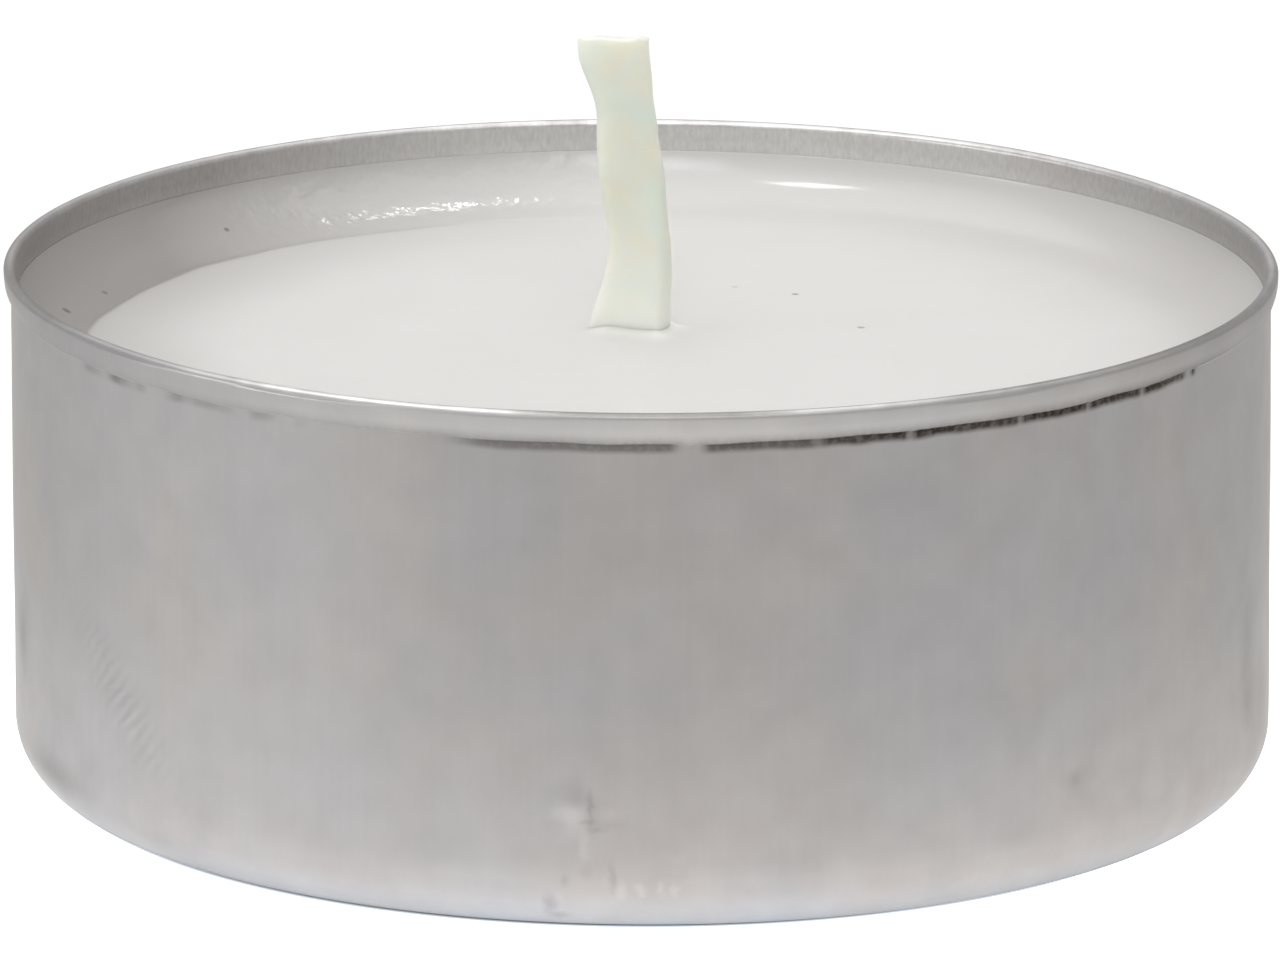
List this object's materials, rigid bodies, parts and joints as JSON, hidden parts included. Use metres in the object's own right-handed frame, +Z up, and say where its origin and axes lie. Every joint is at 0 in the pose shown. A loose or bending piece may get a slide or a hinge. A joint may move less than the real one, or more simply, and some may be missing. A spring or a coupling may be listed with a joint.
{
  "type": "tea light candle",
  "caption": "Tea light candle: pale wax poured in a thin round aluminium cup with a folded rim, and a flat waxed wick standing up from a hidden steel tab.",
  "frame": {"origin": "centre of the cup's foot, on the plane that the candle stands on", "axes": "+Z up along the cup's axis, +X to the right and +Y away from the viewer as pictured, so that the wick stands a little behind the middle and leans towards -X"},
  "size_m": [0.0384, 0.0384, 0.0223],
  "materials": {
    "aluminium_sheet": "satin",
    "wax": "satin",
    "waxed_cotton": "satin",
    "tinned_steel": "satin"
  },
  "bodies": {
    "root": {"aluminium_cup": "aluminium_sheet", "paraffin_wax": "wax", "wick": "waxed_cotton", "wick_sustainer": "tinned_steel"}
  },
  "joints": []
}
